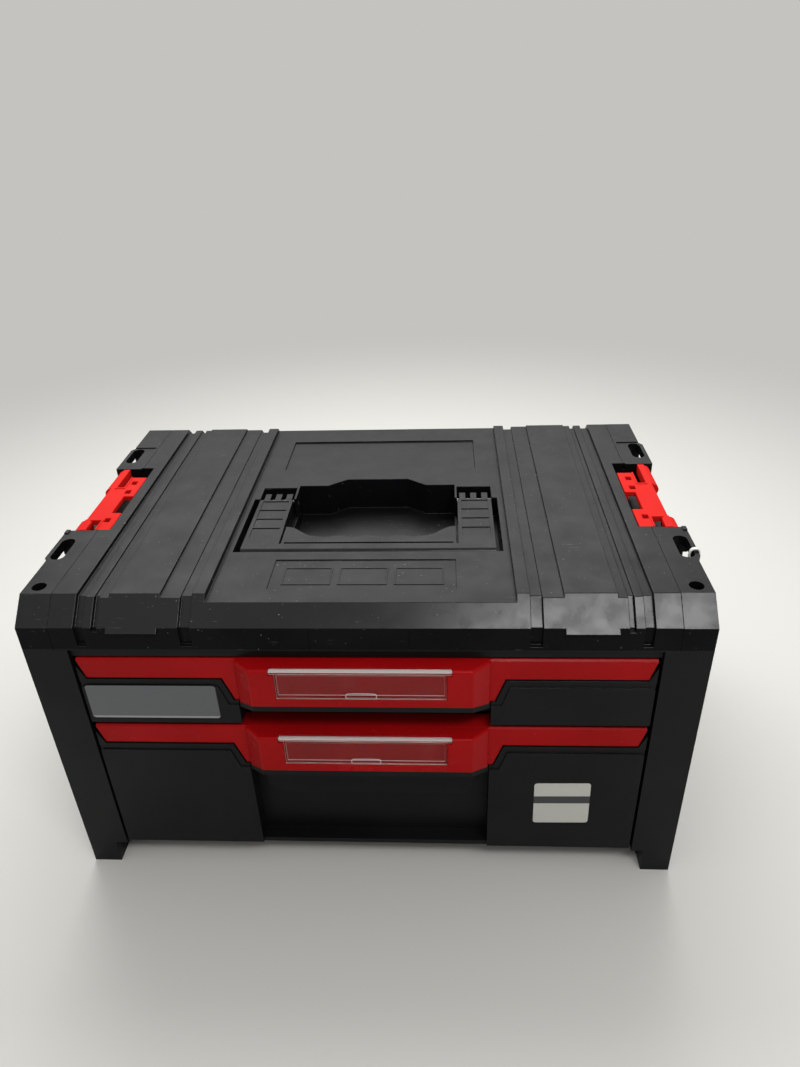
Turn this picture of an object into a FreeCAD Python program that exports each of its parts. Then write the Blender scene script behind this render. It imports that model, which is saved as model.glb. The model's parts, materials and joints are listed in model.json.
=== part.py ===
"""Portable tool box with two drawers, for stacking on boxes of the same system.

Origin: the middle of the whole object's footprint, on the ground. X is to the right,
Y runs from the drawer fronts to the back, Z is up. All lengths are millimetres.
The case is two hollow side panels with corner posts and feet, two inner side frames that
carry the drawer guides, a base, a back and a ribbed cover with the carry handle's well.
Each drawer is a tray, a black front, a red pull over it and a clear flip-up label window.
"""
import FreeCAD
import Part
import os
import types

import Sketcher
from FreeCAD import Vector

# Driving sizes, in the order in which the pieces are made
SIZES = {
    # The case over its outside faces
    "case_width": 444.0,
    "case_depth": 300.0,
    "case_height": 244.0,
    "case_wall": 3.0,
    "bevel_setback": 16.6,
    "bevel_drop": 15.5,
    "opening_drop": 33.6,
    "overrun": 2.0,
    "fit_gap": 0.3,
    "edge_radius": 1.2,
    # Side panels: corner posts, top strips and feet
    "strip_width": 21.0,
    "post_width": 30.0,
    "post_return": 25.0,
    "foot_height": 21.0,
    "foot_length": 80.0,
    "foot_slope": 12.0,
    "foot_wall": 3.0,
    "gusset_setback": 14.0,
    "skirt_height": 9.0,
    "catch_low": 13.5,
    "catch_high": 19.0,
    "catch_depth": 2.0,
    "recess_depth": 1.0,
    "recess_low": 36.0,
    "recess_top_drop": 40.0,
    "recess_margin": 24.0,
    "recess_rib": 9.0,
    "recess_count": 4,
    # Strap blocks beside the latches
    "block_reach": 3.0,
    "block_root": 19.0,
    "block_depth": 14.0,
    "block_length": 42.0,
    "block_corner": 4.0,
    "block_dip": 0.8,
    "block_lip_width": 3.0,
    "block_lip_length": 5.0,
    "slot_length": 28.0,
    "slot_width": 10.0,
    "slot_inset": 26.0,
    "slot_from_edge": 5.0,
    "slot_bar_height": 8.0,
    "slot_exit_height": 17.0,
    # Cover bands, each from the outer edge inwards
    "edge_band": 17.0,
    "outer_groove": 6.0,
    "outer_rib": 6.0,
    "slim_groove": 3.5,
    "outer_shoulder": 6.0,
    "raised_band": 33.5,
    "inner_shoulder": 13.5,
    "inner_groove": 7.5,
    "border_band": 8.5,
    "groove_drop": 3.0,
    "rib_drop": 1.5,
    "shoulder_drop": 2.0,
    "centre_drop": 4.0,
    "groove_foot": 3.6,
    "slim_groove_foot": 15.0,
    "brow_proud": 2.9,
    "brow_edge": 1.0,
    "seam_half": 32.0,
    "seam_width": 0.7,
    "seam_depth": 0.3,
    "lintel_height": 6.7,
    "lintel_setback": 2.5,
    "lintel_thickness": 6.0,
    # Handle well in the cover
    "well_wall": 2.6,
    "handle_pocket_half": 95.0,
    "handle_pocket_front": 73.2,
    "handle_pocket_rear": 151.6,
    "handle_pocket_depth": 16.5,
    "knuckle_pocket_inner": 64.2,
    "knuckle_pocket_outer": 90.8,
    "knuckle_pocket_rear": 170.6,
    "well_half": 62.4,
    "well_front": 86.0,
    "well_shoulder": 174.0,
    "well_rear": 185.0,
    "well_rear_half": 24.8,
    "well_shoulder_half": 39.5,
    "well_depth": 26.5,
    "panel_half": 62.0,
    "panel_front": 27.5,
    "panel_rear": 62.8,
    "panel_depth": 0.8,
    "frame_width": 33.0,
    "frame_length": 20.5,
    "frame_pitch": 37.5,
    "frame_count": 3,
    "frame_line": 1.2,
    "frame_front": 33.0,
    "rear_panel_half": 80.0,
    "rear_panel_front": 204.0,
    "rear_panel_rear": 261.0,
    "rear_panel_depth": 1.5,
    # Carry handle and its hinge pins
    "handle_half": 90.5,
    "handle_arm": 26.0,
    "handle_front": 74.8,
    "handle_thickness": 12.0,
    "handle_arm_rear": 150.0,
    "handle_wall": 2.5,
    "grip_arm_edge": 108.0,
    "grip_edge": 95.0,
    "grip_corner_half": 58.0,
    "grip_curve_half": 44.0,
    "grip_curve_radius": 11.0,
    "finger_radius": 17.0,
    "finger_depth": 1.6,
    "finger_pitch": 22.0,
    "finger_count": 4,
    "grip_groove_front": 84.3,
    "grip_groove_width": 1.6,
    "grip_groove_depth": 5.0,
    "grip_groove_half": 60.5,
    "handle_nose_radius": 3.5,
    "arm_groove_inset": 1.9,
    "arm_rib_count": 4,
    "arm_rib_pitch": 13.8,
    "arm_rib_width": 1.2,
    "arm_rib_depth": 0.6,
    "arm_rib_inset": 2.8,
    "arm_rib_front": 94.0,
    "knuckle_radius": 6.6,
    "knuckle_width": 22.0,
    "knuckle_inset": 1.8,
    "knuckle_finger": 4.8,
    "handle_pin_radius": 2.0,
    "handle_pin_reach": 1.6,
    "handle_axis_drop": 7.0,
    "handle_axis_depth": 159.3,
    "pin_seat": 0.05,
    "pin_running": 0.1,
    # Side latches and their pins
    "latch_cut_length": 103.0,
    "latch_cut_shift": 0.5,
    "latch_cut_depth": 16.0,
    "latch_seat_wall": 3.0,
    "latch_axis_inset": 4.5,
    "latch_axis_drop": 7.0,
    "latch_pin_radius": 2.0,
    "latch_pin_reach": 2.6,
    "latch_knuckle_radius": 5.2,
    "latch_end_gap": 0.8,
    "latch_front_knuckle": 16.0,
    "latch_rear_knuckle": 34.0,
    "latch_plate": 4.0,
    "latch_top_drop": 0.8,
    "latch_lip_gap": 1.0,
    "latch_waist": 5.4,
    "latch_finger_reach": 8.0,
    "latch_finger_front": 26.0,
    "latch_finger_rear": 52.8,
    "latch_rear_plate": 86.0,
    "latch_rear_plate_half": 13.0,
    "latch_front_plate_half": 11.5,
    "latch_front_pocket": 13.5,
    "latch_pocket_outer": 10.5,
    "latch_nose_width": 3.5,
    "latch_nose_depth": 6.0,
    "latch_hole_front": 12.0,
    "latch_hole_middle": 57.8,
    "latch_hole_rear": 73.4,
    "latch_hole_length": 5.6,
    "latch_hole_width": 4.4,
    "latch_web": 1.6,
    "latch_rib_height": 0.6,
    # Screws through the strips, the base and the back
    "screw_head_radius": 4.2,
    "screw_head_height": 2.6,
    "screw_shank_radius": 1.9,
    "screw_hole_radius": 2.0,
    "screw_length": 14.0,
    "screw_bore_radius": 4.75,
    "screw_bore_depth": 11.0,
    "screw_boss_radius": 6.5,
    "strip_screw_inset": 9.5,
    "strip_screw_setback": 24.5,
    "small_head_radius": 3.2,
    "small_head_height": 1.8,
    "small_shank_radius": 1.5,
    "small_hole_radius": 1.6,
    "small_screw_length": 9.0,
    "drive_width": 1.0,
    "drive_length": 4.2,
    "drive_depth": 1.2,
    # Base, back and inner side frames
    "base_thickness": 3.0,
    "base_setback": 4.0,
    "base_rib_height": 2.4,
    "base_rib_width": 2.4,
    "base_rib_count": 5,
    "base_rib_pitch": 62.0,
    "back_thickness": 3.0,
    "back_rib_height": 2.0,
    "back_rib_width": 6.0,
    "back_rib_count": 7,
    "back_rib_pitch": 50.0,
    "frame_wall": 3.0,
    "frame_rib": 3.0,
    "frame_rib_count": 4,
    "frame_flange": 12.0,
    "frame_flange_thickness": 3.0,
    "foot_boss_length": 14.0,
    "foot_boss_height": 10.0,
    "foot_boss_reach": 6.5,
    "foot_screw_inset": 3.3,
    "base_screw_count": 3,
    "base_screw_inset": 40.0,
    "back_screw_count": 3,
    "back_screw_inset": 21.0,
    # Drawer guides
    "guide_depth": 4.5,
    "guide_web": 2.0,
    "guide_lip": 2.0,
    "guide_slot": 4.0,
    "guide_front": 18.0,
    "guide_rear": 9.0,
    "guide_peg_radius": 3.0,
    "guide_peg_count": 3,
    "guide_peg_inset": 22.0,
    # Drawer fronts, seen from the front and from above
    "front_top_gap": 8.4,
    "upper_front_height": 54.5,
    "drawer_gap": 4.5,
    "front_low_gap": 0.4,
    "front_side_gap": 2.0,
    "front_thickness": 15.5,
    "front_skin": 3.0,
    "front_back_wall": 2.5,
    "sill_setback": 2.0,
    "rim_setback": 0.9,
    "rim_gap": 0.6,
    "rail_setback": 1.9,
    "finger_space_half": 84.6,
    "rail_end_inset": 0.4,
    "rail_end_drop": 1.6,
    "rail_height": 16.1,
    "rail_low_inset": 4.7,
    "rail_step_half": 93.6,
    "pull_side_half": 87.0,
    "pull_side_drop": 34.8,
    "rim_width": 5.2,
    "rim_end_drop": 6.0,
    "rim_corner": 3.5,
    "panel_corner": 1.5,
    "rim_low_half": 96.6,
    "rim_side_half": 91.4,
    "rim_side_drop": 38.0,
    "pull_reach": 10.0,
    "pull_face_half": 72.4,
    "pull_root_half": 83.7,
    "pull_face_height": 30.0,
    "pull_root_height": 35.0,
    "pull_wall": 3.0,
    "pull_radius": 2.4,
    "lip_height": 4.4,
    "lip_width": 4.0,
    "sill_height": 3.0,
    "knuckle_pad_half": 76.0,
    "knuckle_pad_thickness": 4.0,
    "knuckle_pad_rise": 45.6,
    "knuckle_pad_corner": 9.0,
    # Label windows
    "window_half": 55.5,
    "window_height": 21.5,
    "window_thickness": 1.5,
    "window_seat": 1.9,
    "window_bar_half": 58.5,
    "window_bar_radius": 1.9,
    "window_pivot_radius": 1.0,
    "window_pivot_reach": 2.0,
    "window_ear": 1.6,
    "window_tab_half": 10.3,
    "window_tab_height": 3.4,
    "window_gap": 0.4,
    # Trays
    "tray_side_gap": 8.0,
    "tray_wall": 2.5,
    "tray_floor": 2.5,
    "tray_rear_gap": 10.0,
    "tray_corner": 7.0,
    "tray_lift": 1.6,
    "tray_rim_drop": 2.0,
    "flange_width": 5.4,
    "flange_thickness": 3.0,
    "flange_drop": 12.0,
    "front_screw_inset": 40.0,
    "front_screw_inner": 104.0,
    "front_boss_radius": 4.5,
}


class Size:
    """A length: its number now, and the formula of sheet cells that a property is bound to."""

    def __init__(self, number, formula):
        self.number = number
        self.formula = formula

    def __add__(self, other):
        other = as_size(other)
        return Size(self.number + other.number, f"({self.formula} + {other.formula})")

    def __sub__(self, other):
        other = as_size(other)
        return Size(self.number - other.number, f"({self.formula} - {other.formula})")

    def __mul__(self, other):
        other = as_size(other)
        return Size(self.number * other.number, f"({self.formula} * {other.formula})")

    def __truediv__(self, other):
        other = as_size(other)
        return Size(self.number / other.number, f"({self.formula} / {other.formula})")

    def __neg__(self):
        return Size(-self.number, f"(-{self.formula})")

    __radd__ = __add__
    __rmul__ = __mul__


def as_size(value):
    """A plain number counts as a size too."""
    return value if isinstance(value, Size) else Size(float(value), f"({value})")


doc = FreeCAD.newDocument("DrawerToolBox")
sheet = doc.addObject("Spreadsheet::Sheet", "Sizes")
for row, (name, number) in enumerate(SIZES.items(), start=1):
    sheet.set(f"A{row}", name.replace("_", " "))
    sheet.set(f"B{row}", str(number))
    sheet.setAlias(f"B{row}", name)
doc.recompute()
s = types.SimpleNamespace(**{name: Size(float(sheet.get(name)), f"Sizes.{name}") for name in SIZES})

# Each plane's sketch axes are the two letters of its name; this is where its normal points
NORMAL = {"XY": 1, "XZ": -1, "YZ": 1}
nodes = {}


def bind(thing, prop, size):
    """Binds a property to its formula over the sheet."""
    thing.setExpression(prop, as_size(size).formula)


def new_piece(name):
    """An empty body whose Label names the piece and its file."""
    body = doc.addObject("PartDesign::Body", name)
    body.AllowCompound = True
    body.Label = name
    nodes[name] = body
    return body


def new_sketch(body, plane, low, high):
    """A sketch on a plane of the body's origin, lifted to where its feature starts."""
    sketch = body.newObject("Sketcher::SketchObject", f"{body.Name}_{plane}")
    origin = [o for o in body.Origin.OriginFeatures if o.Role == f"{plane}_Plane"][0]
    sketch.AttachmentSupport = [(origin, "")]
    sketch.MapMode = "FlatFace"
    bind(sketch, "AttachmentOffset.Base.z", low if NORMAL[plane] > 0 else -high)
    return sketch


def fix(sketch, geometry, vertex, place):
    """Binds one point of a sketch to its place, measured from the sketch's origin."""
    for kind, size in zip(("DistanceX", "DistanceY"), place):
        size = as_size(size)
        index = sketch.addConstraint(Sketcher.Constraint(kind, -1, 1, geometry, vertex, size.number))
        bind(sketch, f"Constraints[{index}]", size)


def outline(body, plane, low, high, loops):
    """A sketch of closed loops of straight sides, each through its list of points."""
    sketch = new_sketch(body, plane, low, high)
    for points in loops:
        first = sketch.GeometryCount
        ends = [Vector(as_size(u).number, as_size(v).number, 0) for u, v in points]
        count = len(ends)
        sketch.addGeometry([Part.LineSegment(ends[i], ends[(i + 1) % count]) for i in range(count)], False)
        sketch.addConstraint([Sketcher.Constraint("Coincident", first + i, 2, first + (i + 1) % count, 1)
                              for i in range(count)])
        for i, point in enumerate(points):
            fix(sketch, first + i, 1, point)
    return sketch


def circles(body, plane, low, high, centres, radius):
    """A sketch of circles of one radius."""
    sketch = new_sketch(body, plane, low, high)
    for i, centre in enumerate(centres):
        middle = Vector(as_size(centre[0]).number, as_size(centre[1]).number, 0)
        sketch.addGeometry(Part.Circle(middle, Vector(0, 0, 1), radius.number), False)
        fix(sketch, i, 3, centre)
        index = sketch.addConstraint(Sketcher.Constraint("Radius", i, radius.number))
        bind(sketch, f"Constraints[{index}]", radius)
    return sketch


def long_slots(body, low, high, middles, width, length):
    """A sketch in plan of slots with round ends, lying along Y."""
    sketch = new_sketch(body, "XY", low, high)
    radius = width / 2
    for middle in middles:
        first = sketch.GeometryCount
        left, right = middle[0] - radius, middle[0] + radius
        low_y, high_y = middle[1] - length / 2 + radius, middle[1] + length / 2 - radius
        places = ((left, low_y), (left, high_y), (right, high_y), (right, low_y))
        ends = [Vector(x.number, y.number, 0) for x, y in places]
        arcs = [Part.Arc(ends[1], Vector(middle[0].number, (high_y + radius).number, 0), ends[2]),
                Part.Arc(ends[3], Vector(middle[0].number, (low_y - radius).number, 0), ends[0])]
        sketch.addGeometry([Part.LineSegment(ends[0], ends[1]), arcs[0],
                            Part.LineSegment(ends[2], ends[3]), arcs[1]], False)
        for a, end_a, b, end_b in ((0, 2, 1, 2), (1, 1, 2, 1), (2, 2, 3, 2), (3, 1, 0, 1)):
            sketch.addConstraint(Sketcher.Constraint("Coincident", first + a, end_a, first + b, end_b))
        for i, place in enumerate(places):
            fix(sketch, first + i // 2 * 2, i % 2 + 1, place)
        for geometry, place in ((1, high_y), (3, low_y)):
            index = sketch.addConstraint(
                Sketcher.Constraint("DistanceY", -1, 1, first + geometry, 3, place.number))
            bind(sketch, f"Constraints[{index}]", place)
    return sketch


def feature(body, kind, sketch, low, high):
    """A pad or pocket of a sketch, filling the space between low and high."""
    made = body.newObject(f"PartDesign::{kind}", f"{body.Name}_{kind}")
    made.Profile = sketch
    bind(made, "Length", as_size(high) - low)
    made.Reversed = kind == "Pocket"
    return made


def pad(body, plane, low, high, *loops):
    return feature(body, "Pad", outline(body, plane, low, high, loops), low, high)


def pocket(body, plane, low, high, *loops):
    return feature(body, "Pocket", outline(body, plane, low, high, loops), low, high)


def round_pad(body, plane, low, high, radius, *centres):
    return feature(body, "Pad", circles(body, plane, low, high, centres, radius), low, high)


def round_pocket(body, plane, low, high, radius, *centres):
    return feature(body, "Pocket", circles(body, plane, low, high, centres, radius), low, high)


def box(u_low, u_high, v_low, v_high):
    """The four corners of a rectangle."""
    return [(u_low, v_low), (u_high, v_low), (u_high, v_high), (u_low, v_high)]


def flipped(points):
    """The same outline on the other side of the middle plane."""
    return [(-as_size(u), v) for u, v in points]


def paired(points):
    """An outline or a list of centres, with its mirror on the left."""
    return points, flipped(points)


def row_of(count, pitch):
    """Places in a row about the middle, so far apart."""
    number = int(count.number)
    return [pitch * (i - (number - 1) / 2) for i in range(number)]


def row_between(count, low, high):
    """Places in a row from low to high, evenly spaced."""
    gaps = int(count.number) - 1
    return [low + (high - low) * i / gaps for i in range(gaps + 1)]


def both_sides(low, high):
    """A span of X on the right of the middle plane, and its mirror on the left."""
    return ((low, high), (-as_size(high), -as_size(low)))


def round_edges(body, radius, wanted):
    """Rounds the edges of the piece so far whose two ends pass the test wanted."""
    doc.recompute()
    tip = body.Tip
    names = [f"Edge{i + 1}" for i, edge in enumerate(tip.Shape.Edges)
             if len(edge.Vertexes) == 2 and wanted(*[v.Point for v in edge.Vertexes])]
    fillet = body.newObject("PartDesign::Fillet", f"{body.Name}_Fillet")
    fillet.Base = (tip, names)
    bind(fillet, "Radius", radius)
    return fillet


def sorted_pair(a, b):
    """Two places on an axis, the lower one first."""
    return (a, b) if a.number < b.number else (b, a)


def near(a, b):
    """Whether two coordinates are the same place, to a share of the fit gap."""
    return abs(a - as_size(b).number) < s.fit_gap.number / 10


def upright(a, b, x=None, y=None):
    """Whether an edge stands straight up, at x or y where these are given."""
    return (near(a.x, b.x) and near(a.y, b.y)
            and (x is None or near(abs(a.x), x)) and (y is None or near(a.y, y)))


def mirror(name, source):
    """The left-hand piece, mirrored from the right-hand one."""
    copy = doc.addObject("Part::Mirroring", name)
    copy.Source = source
    copy.Normal = (1, 0, 0)
    copy.Label = name
    nodes[name] = copy
    return copy


# Main planes of the case
front = -(s.case_depth + s.pull_reach) / 2 + s.pull_reach
rear = front + s.case_depth
middle_y = (front + rear) / 2
half = s.case_width / 2
top = s.case_height
bevel_z = top - s.bevel_drop
cover_half = half - s.strip_width
post_half = half - s.post_width
cover_low = top - s.opening_drop
base_z = s.foot_height
base_top = base_z + s.base_thickness
sky = top + s.overrun
wall = s.case_wall


def bands():
    """The cover's bands from its edge inwards: name to (inner, outer) distance from the middle."""
    spans = {}
    outer = cover_half
    for name in ("edge_band", "outer_groove", "outer_rib", "slim_groove", "outer_shoulder",
                 "raised_band", "inner_shoulder", "inner_groove", "border_band"):
        inner = outer - getattr(s, name)
        spans[name] = (inner, outer)
        outer = inner
    return spans


band = bands()
centre_half = band["border_band"][0]
panel_z = top - s.centre_drop
roof_z = panel_z - wall
handle_axis = (front + s.handle_axis_depth, panel_z - s.handle_axis_drop)
latch_front = middle_y + s.latch_cut_shift - s.latch_cut_length / 2
latch_rear = latch_front + s.latch_cut_length
latch_floor = top - s.latch_cut_depth
latch_axis = (half - s.latch_axis_inset, top - s.latch_axis_drop)
slot_x = half - s.slot_from_edge
screw_places = [(half - s.strip_screw_inset, front + s.strip_screw_setback)]
screw_seat = top - s.screw_bore_depth


# Cover: ribbed top with bevelled front and back, one moulding with the handle's well
def envelope(inset, foot):
    """The cover's outline from the side, drawn in by inset, down to the height foot."""
    setback, edge_z = s.bevel_setback + inset / 2, bevel_z - inset / 2
    return [(front + inset, foot), (front + inset, edge_z), (front + setback, top - inset),
            (rear - setback, top - inset), (rear - inset, edge_z), (rear - inset, foot)]


def cut_groove(body, name, foot):
    """A groove that runs along the top, down the bevels and down the fronts to foot."""
    path = envelope(s.groove_drop, foot)
    outside = [(rear + s.overrun, foot), (rear + s.overrun, sky),
               (front - s.overrun, sky), (front - s.overrun, foot)]
    for low, high in both_sides(*band[name]):
        pocket(body, "YZ", low, high, path + outside)


def back_grooves(body):
    """The wall steps in behind the deep grooves, so that it keeps its thickness there."""
    path = envelope(wall / 2, cover_low) + list(reversed(envelope(s.groove_drop + wall, cover_low)))
    spans = ((band["slim_groove"][0] - wall, band["outer_groove"][1] + wall),
             (band["inner_groove"][0] - wall, band["inner_groove"][1] + wall))
    for span in spans:
        for low, high in both_sides(*span):
            pad(body, "YZ", low, high, path)


def cut_levels(body):
    """The steps of the top's cross section, which run from front to back."""
    outer = {name: span[1] for name, span in band.items()}
    groove_z, rib_z, shoulder_z = top - s.groove_drop, top - s.rib_drop, top - s.shoulder_drop
    outer_steps = [(outer["outer_groove"], sky), (outer["outer_groove"], groove_z),
                   (outer["outer_rib"], groove_z), (outer["outer_rib"], rib_z),
                   (outer["slim_groove"], rib_z), (outer["slim_groove"], groove_z),
                   (outer["outer_shoulder"], groove_z), (outer["outer_shoulder"], shoulder_z),
                   (outer["raised_band"], shoulder_z), (outer["raised_band"], sky)]
    inner_steps = [(outer["inner_shoulder"], sky), (outer["inner_shoulder"], shoulder_z),
                   (outer["inner_groove"], shoulder_z), (outer["inner_groove"], groove_z),
                   (outer["border_band"], groove_z), (outer["border_band"], sky)]
    pocket(body, "XZ", front - s.overrun, rear + s.overrun, *paired(outer_steps), *paired(inner_steps),
           box(-centre_half, centre_half, panel_z, sky))


def add_brows(body):
    """The raised bands carry the front bevel on, down and out, past the front in a brow."""
    toe_z = bevel_z - s.brow_proud * s.bevel_drop / s.bevel_setback
    brow = [(front + s.bevel_setback / 2, top - s.bevel_drop / 2), (front - s.brow_proud, toe_z),
            (front, toe_z - s.brow_edge), (front + wall, toe_z - s.brow_edge)]
    for low, high in both_sides(*band["raised_band"]):
        pad(body, "YZ", low, high, brow)


def cut_seams(body):
    """Two fine seams down the middle of the front, below the bevel."""
    pocket(body, "XZ", front - s.overrun, front + s.seam_depth,
           *[box(middle - s.seam_width / 2, middle + s.seam_width / 2, cover_low + s.fit_gap, bevel_z)
             for middle in (-s.seam_half, s.seam_half)])


def add_handle_well(body):
    """The tub that the folded handle lies in, with its knuckle pockets and the deep finger well."""
    tub_floor = panel_z - s.handle_pocket_depth
    knuckle_rear = front + s.knuckle_pocket_rear
    pad(body, "XY", tub_floor - s.well_wall, panel_z,
        box(-s.handle_pocket_half - s.well_wall, s.handle_pocket_half + s.well_wall,
            front + s.handle_pocket_front - s.well_wall, knuckle_rear + s.well_wall))
    well_floor = panel_z - s.well_depth
    pad(body, "XY", well_floor - s.well_wall, panel_z,
        box(-s.well_half - s.well_wall, s.well_half + s.well_wall,
            front + s.well_front - s.well_wall, front + s.well_rear + s.well_wall))
    near_side, far_side = front + s.handle_pocket_front, front + s.handle_pocket_rear
    right = [(s.handle_pocket_half, near_side), (s.handle_pocket_half, far_side),
             (s.knuckle_pocket_outer, far_side), (s.knuckle_pocket_outer, knuckle_rear),
             (s.knuckle_pocket_inner, knuckle_rear), (s.knuckle_pocket_inner, far_side)]
    pocket(body, "XY", tub_floor, sky, right + flipped(reversed(right)))
    shoulder, back = front + s.well_shoulder, front + s.well_rear
    well = [(-s.well_half, front + s.well_front), (s.well_half, front + s.well_front),
            (s.well_half, shoulder), (s.well_shoulder_half, shoulder), (s.well_rear_half, back)]
    well += flipped(reversed(well[2:]))
    pocket(body, "XY", well_floor, sky, well)
    round_pocket(body, "YZ", -s.handle_pocket_half, s.handle_pocket_half,
                 s.handle_pin_radius + s.pin_seat, handle_axis)


def add_sunk_panels(body):
    """Two shallow panels on the middle of the top, the front one with three plain frames in it."""
    floor, near_side = panel_z - s.panel_depth, front + s.frame_front
    lefts = [x - s.frame_width / 2 for x in row_of(s.frame_count, s.frame_pitch)]
    pocket(body, "XY", floor, sky,
           box(-s.panel_half, s.panel_half, front + s.panel_front, front + s.panel_rear))
    pocket(body, "XY", panel_z - s.rear_panel_depth, sky,
           box(-s.rear_panel_half, s.rear_panel_half,
               front + s.rear_panel_front, front + s.rear_panel_rear))
    pad(body, "XY", floor - s.panel_depth, floor + s.panel_depth / 2,
        *[box(x, x + s.frame_width, near_side, near_side + s.frame_length) for x in lefts])
    pocket(body, "XY", floor, sky,
           *[box(x + s.frame_line, x + s.frame_width - s.frame_line,
                 near_side + s.frame_line, near_side + s.frame_length - s.frame_line) for x in lefts])


def cut_latch_seats(body, walls, cuts):
    """Pockets with a floor and end walls, where the folded latches lie."""
    pad(body, "XY", latch_floor - s.latch_seat_wall, roof_z + wall / 2,
        *[box(*span, latch_front - s.latch_seat_wall, latch_rear + s.latch_seat_wall) for span in walls])
    pocket(body, "XY", latch_floor, sky, *[box(*span, latch_front, latch_rear) for span in cuts])


def make_cover():
    cover = new_piece("top_cover")
    pad(cover, "YZ", -cover_half, cover_half, envelope(0, cover_low))
    inside = [(front + wall, cover_low - s.overrun), (front + wall, bevel_z - wall / 2),
              (front + s.bevel_setback, roof_z), (rear - s.bevel_setback, roof_z),
              (rear - wall, bevel_z - wall / 2), (rear - wall, cover_low - s.overrun)]
    pocket(cover, "YZ", -cover_half + wall, cover_half - wall, inside)
    back_grooves(cover)
    cut_levels(cover)
    cut_groove(cover, "outer_groove", cover_low + s.groove_foot)
    cut_groove(cover, "inner_groove", cover_low + s.groove_foot)
    cut_groove(cover, "slim_groove", cover_low + s.slim_groove_foot)
    add_brows(cover)
    cut_seams(cover)
    add_handle_well(cover)
    add_sunk_panels(cover)
    cut_latch_seats(cover, both_sides(post_half - s.latch_seat_wall, cover_half),
                    both_sides(post_half, cover_half))
    pad(cover, "XY", cover_low - s.lintel_height, cover_low + wall,
        box(-post_half + s.fit_gap, post_half - s.fit_gap, front + s.lintel_setback,
            front + s.lintel_setback + s.lintel_thickness))
    return cover


# Side panels: hollow mouldings, each with two corner posts, two feet and the latch's seat
def side_outline():
    """A side panel from the side, with its two feet and the skirt between them."""
    near_foot, far_foot = front + s.foot_length, rear - s.foot_length
    return [(front, 0), (near_foot, 0), (near_foot + s.foot_slope, s.skirt_height),
            (far_foot - s.foot_slope, s.skirt_height), (far_foot, 0), (rear, 0),
            (rear, bevel_z), (rear - s.bevel_setback, top), (front + s.bevel_setback, top), (front, bevel_z)]


def add_posts(body):
    """The corner posts: the front one turns in beside the drawers' ends, the rear one laps the back."""
    turned = [(post_half, front), (cover_half + wall, front), (cover_half + wall, front + wall),
              (post_half + wall, front + wall), (post_half + wall, front + s.post_return),
              (post_half, front + s.post_return)]
    pad(body, "XY", base_z, cover_low, turned, box(post_half, cover_half + wall, rear - wall, rear))
    gusset = [(post_half, base_z), (cover_half, as_size(0)), (cover_half, base_z)]
    for low in (front + s.gusset_setback, rear - s.gusset_setback - wall):
        pad(body, "XZ", low, low + wall, gusset)


def hollow_feet(body):
    """The feet are closed cups, and the skirt between them is open below."""
    inner, outer = cover_half + s.foot_wall, half - wall
    near_foot, far_foot = front + s.foot_length, rear - s.foot_length
    pocket(body, "XY", s.foot_wall, base_top + s.overrun,
           box(inner, outer, front + wall, near_foot - wall),
           box(inner, outer, far_foot + wall, rear - wall))
    pocket(body, "XY", -s.overrun, base_z,
           box(inner, outer, near_foot + s.foot_slope, far_foot - s.foot_slope))


def add_strap_blocks(body):
    """A block each side of the latch, with a slot from above that comes out at the side."""
    reach, root = half + s.block_reach, half - s.block_root
    low = top - s.slot_exit_height - s.slot_bar_height
    plans, dips, walls, exits = [], [], [], []
    slots = [(slot_x, latch_front - s.slot_inset), (slot_x, latch_rear + s.slot_inset)]
    for turn, inner_end, (_, slot_y) in ((-1, latch_front, slots[0]), (1, latch_rear, slots[1])):
        outer_end = inner_end + s.block_length * turn
        plans.append([(root, inner_end), (reach, inner_end), (reach, outer_end - s.block_corner * turn),
                      (half, outer_end), (root, outer_end)])
        dips.append(box(root, reach + s.overrun, *sorted_pair(inner_end, outer_end)))
        walls.append(box(slot_x - s.slot_width / 2 - wall, half - wall / 2,
                         slot_y - s.slot_length / 2 - wall, slot_y + s.slot_length / 2 + wall))
        exits.append(box(slot_y - s.slot_length / 2 + s.fit_gap, slot_y + s.slot_length / 2 - s.fit_gap,
                         low, top - s.slot_bar_height))
    pad(body, "XY", top - s.block_depth, top, *plans)
    pocket(body, "XY", top - s.block_dip, sky, *dips)
    pad(body, "XY", low - wall, top - wall, *walls)
    feature(body, "Pocket", long_slots(body, low, sky, slots, s.slot_width, s.slot_length), low, sky)
    pocket(body, "YZ", slot_x, reach + s.overrun, *exits)
    pad(body, "XY", top - s.block_dip, top,
        box(reach - s.block_lip_width, reach, latch_front - s.block_lip_length, latch_front))


def add_screw_bosses(body):
    round_pad(body, "XY", screw_seat - s.screw_length, top - wall, s.screw_boss_radius, *screw_places)
    round_pocket(body, "XY", screw_seat, sky, s.screw_bore_radius, *screw_places)
    round_pocket(body, "XY", screw_seat - s.screw_length, screw_seat, s.screw_hole_radius, *screw_places)


def sink_outer_face(body):
    """Shallow panels between ribs on the outer face, and the groove that another box's latch grips."""
    count = int(s.recess_count.number)
    length = (s.case_depth - s.recess_margin * 2 - s.recess_rib * (count - 1)) / count
    lows = [front + s.recess_margin + (length + s.recess_rib) * i for i in range(count)]
    pocket(body, "YZ", half - s.recess_depth, half + s.overrun,
           *[box(low, low + length, s.recess_low, top - s.recess_top_drop) for low in lows])
    pocket(body, "YZ", half - s.catch_depth, half + s.overrun,
           box(latch_front - s.overrun, latch_rear + s.overrun, s.catch_low, s.catch_high))


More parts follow.
